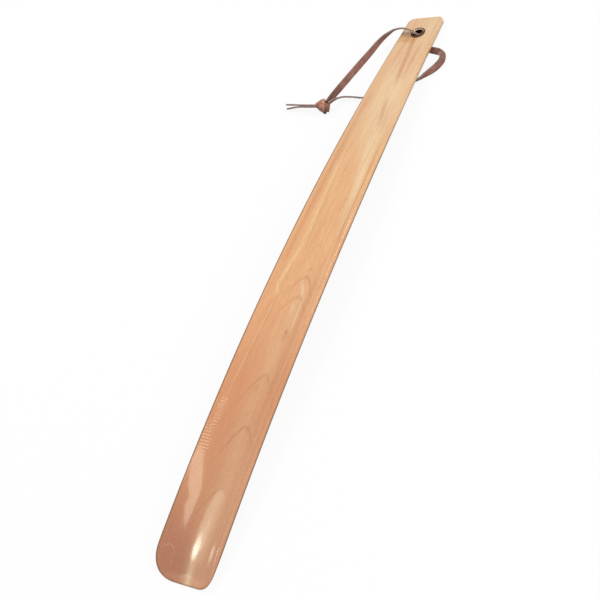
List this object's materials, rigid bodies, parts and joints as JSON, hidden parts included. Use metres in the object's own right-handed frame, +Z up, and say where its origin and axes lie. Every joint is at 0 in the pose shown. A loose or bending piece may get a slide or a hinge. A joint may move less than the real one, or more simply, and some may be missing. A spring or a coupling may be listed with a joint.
{
  "type": "shoe horn",
  "caption": "Long arched wooden shoe horn with a troughed blade, a flat handle and a knotted leather thong through a metal eyelet.",
  "frame": {"origin": "on the surface that the horn lies on, under the middle of the horn without its thong", "axes": "+Y from the blade towards the handle, +X to the right seen from above with the handle away, +Z up, out of the horn's convex front"},
  "size_m": [0.1271, 0.4791, 0.0189],
  "materials": {
    "horn_wood": "clear gloss lacquer",
    "eyelet_metal": "dark antique plated",
    "thong_leather": "smooth matt",
    "knot_leather": "smooth matt"
  },
  "bodies": {
    "horn": {"horn": "horn_wood", "eyelet": "eyelet_metal"},
    "thong": {"thong_front_strand": "thong_leather", "thong_back_strand": "thong_leather", "thong_knot": "knot_leather", "thong_upper_tail": "thong_leather", "thong_lower_tail": "thong_leather"}
  },
  "joints": [
    {"name": "thong_swing", "type": "hinge", "parent": "horn", "child": "thong", "pos_m": [0, 0.21858, 0], "axis": [0, 0, -1], "range_deg": [-15, 60]}
  ]
}
